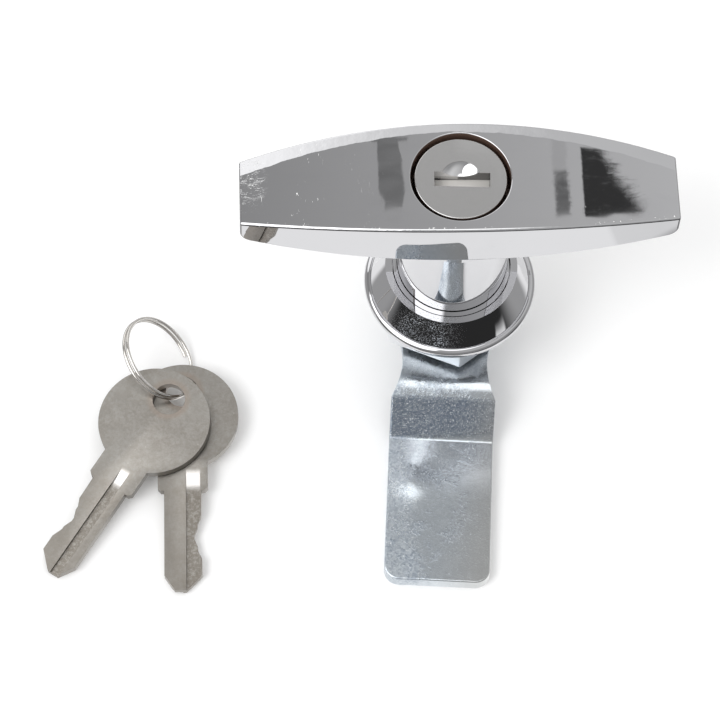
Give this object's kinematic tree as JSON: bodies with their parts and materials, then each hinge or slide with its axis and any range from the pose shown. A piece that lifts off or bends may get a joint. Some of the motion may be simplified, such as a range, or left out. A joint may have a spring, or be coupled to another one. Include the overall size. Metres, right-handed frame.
{
  "type": "t-handle lock",
  "caption": "Keyed T-handle lock: lens-shaped bar on a round stem, conical flange, threaded sleeve with a nut, cranked cam, and two flat keys on a split ring.",
  "frame": {"origin": "on the lock's axis, in the plane of the flange's back face, where the face of the panel lies", "axes": "+Z along the axis, out of the panel towards the handle; +X along the handle bar; the cam points to -Y"},
  "size_m": [0.1324, 0.0811, 0.0652],
  "materials": {
    "chrome_casting": "polished chrome plate on a zinc die casting",
    "chrome_nut": "chrome plated",
    "zinc_steel": "zinc plated, fine crystals",
    "plug_satin": "satin",
    "shutter_steel": "satin",
    "wafer_brass": "stamped",
    "spring_steel": "bright",
    "rubber": "matte",
    "ring_steel": "polished",
    "key_nickel": "nickel plated, worn satin"
  },
  "bodies": {
    "housing": {"escutcheon_housing": "chrome_casting", "hex_nut": "chrome_nut"},
    "handle": {"t_handle": "chrome_casting", "stem_o_ring": "rubber", "plug_retaining_pin": "spring_steel", "stop_washer": "zinc_steel", "cam": "zinc_steel", "flat_washer": "zinc_steel", "spring_washer": "zinc_steel", "cam_screw": "zinc_steel"},
    "plug": {"lock_plug": "plug_satin", "plug_face": "plug_satin", "bolt_driver": "plug_satin", "shutter_pin": "spring_steel", "shutter_spring": "spring_steel", "wafer_spring_1": "spring_steel", "wafer_spring_2": "spring_steel", "wafer_spring_3": "spring_steel", "wafer_spring_4": "spring_steel", "wafer_spring_5": "spring_steel"},
    "bolt": {"locking_bolt": "plug_satin"},
    "shutter": {"dust_shutter": "shutter_steel"},
    "key_ring": {"split_ring": "ring_steel"},
    "upper_key": {"key_1": "key_nickel"},
    "lower_key": {"key_2": "key_nickel"},
    "wafer_body_1": {"wafer_1": "wafer_brass"},
    "wafer_body_2": {"wafer_2": "wafer_brass"},
    "wafer_body_3": {"wafer_3": "wafer_brass"},
    "wafer_body_4": {"wafer_4": "wafer_brass"},
    "wafer_body_5": {"wafer_5": "wafer_brass"}
  },
  "joints": [
    {"name": "handle_turn", "type": "hinge", "parent": "housing", "child": "handle", "pos_m": [0, 0, 0], "axis": [0, 0, 1], "range_deg": [0, 90]},
    {"name": "key_turn", "type": "hinge", "parent": "handle", "child": "plug", "pos_m": [0, 0, 0], "axis": [0, 0, 1], "range_deg": [0, 90]},
    {"name": "bolt_slide", "type": "slide", "parent": "handle", "child": "bolt", "axis": [0, 1, 0], "range_m": [0, 0.00212]},
    {"name": "shutter_swing", "type": "hinge", "parent": "plug", "child": "shutter", "pos_m": [0.00039, 0.00214, 0.03985], "axis": [0.999, -0.0436, 0], "range_deg": [0, 80], "stiffness_Nm_per_rad": 0.0001, "springref_deg": -34.38},
    {"name": "wafer_slide_1", "type": "slide", "parent": "plug", "child": "wafer_body_1", "axis": [-0.999, 0.0436, 0], "range_m": [0, 0.0012], "deforming": ["wafer_spring_1"]},
    {"name": "wafer_slide_2", "type": "slide", "parent": "plug", "child": "wafer_body_2", "axis": [-0.999, 0.0436, 0], "range_m": [0, 0.0012], "deforming": ["wafer_spring_2"]},
    {"name": "wafer_slide_3", "type": "slide", "parent": "plug", "child": "wafer_body_3", "axis": [-0.999, 0.0436, 0], "range_m": [0, 0.0012], "deforming": ["wafer_spring_3"]},
    {"name": "wafer_slide_4", "type": "slide", "parent": "plug", "child": "wafer_body_4", "axis": [-0.999, 0.0436, 0], "range_m": [0, 0.0012], "deforming": ["wafer_spring_4"]},
    {"name": "wafer_slide_5", "type": "slide", "parent": "plug", "child": "wafer_body_5", "axis": [-0.999, 0.0436, 0], "range_m": [0, 0.0012], "deforming": ["wafer_spring_5"]},
    {"name": "key_ring_lift", "type": "slide", "parent": "housing", "child": "key_ring", "axis": [0, 0, 1], "range_m": [0, 0.06]},
    {"name": "upper_key_swing", "type": "hinge", "parent": "key_ring", "child": "upper_key", "pos_m": [-0.06059, -0.02016, -0.01482], "axis": [-0.0741, -0.0872, 0.9934], "range_deg": [-60, 0]},
    {"name": "lower_key_swing", "type": "hinge", "parent": "key_ring", "child": "lower_key", "pos_m": [-0.05779, -0.0171, -0.0173], "axis": [-0.0318, -0.0592, 0.9977], "range_deg": [0, 50]}
  ],
  "couplings": [
    {"joint": "bolt_slide", "follows": "key_turn", "m_per_rad": 0.0013505}
  ]
}
